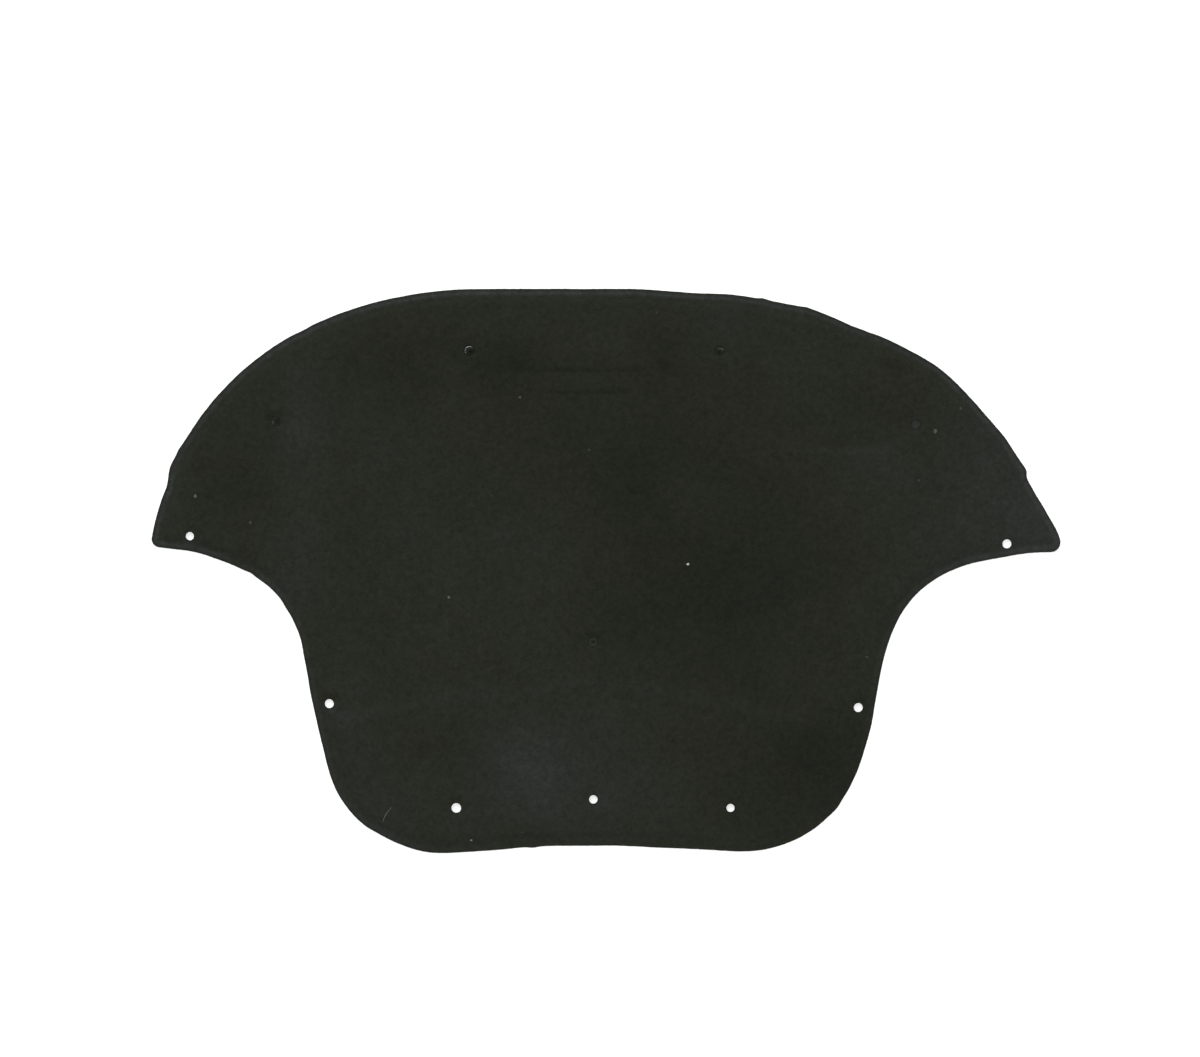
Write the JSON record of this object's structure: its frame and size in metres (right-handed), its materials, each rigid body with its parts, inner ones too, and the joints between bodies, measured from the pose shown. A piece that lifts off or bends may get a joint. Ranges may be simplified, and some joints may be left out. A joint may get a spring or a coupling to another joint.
{
  "type": "hood insulation pad",
  "caption": "Thin black felt pad with a wide curved rear edge, pointed wings and a narrow rounded front, pressed thin round its rim and punched for push-in clips.",
  "frame": {"origin": "centre of the outline's box, on the flat back that goes against the hood", "axes": "+Z out of the face that shows when the hood is open, +Y toward the wide rear edge, +X to the right of the face seen with the rear edge up"},
  "size_m": [1.0902, 0.6766, 0.0091],
  "materials": {
    "black_felt": "matt needled felt, charcoal black with a faint olive tone"
  },
  "bodies": {
    "root": {"hood_pad": "black_felt"}
  },
  "joints": []
}
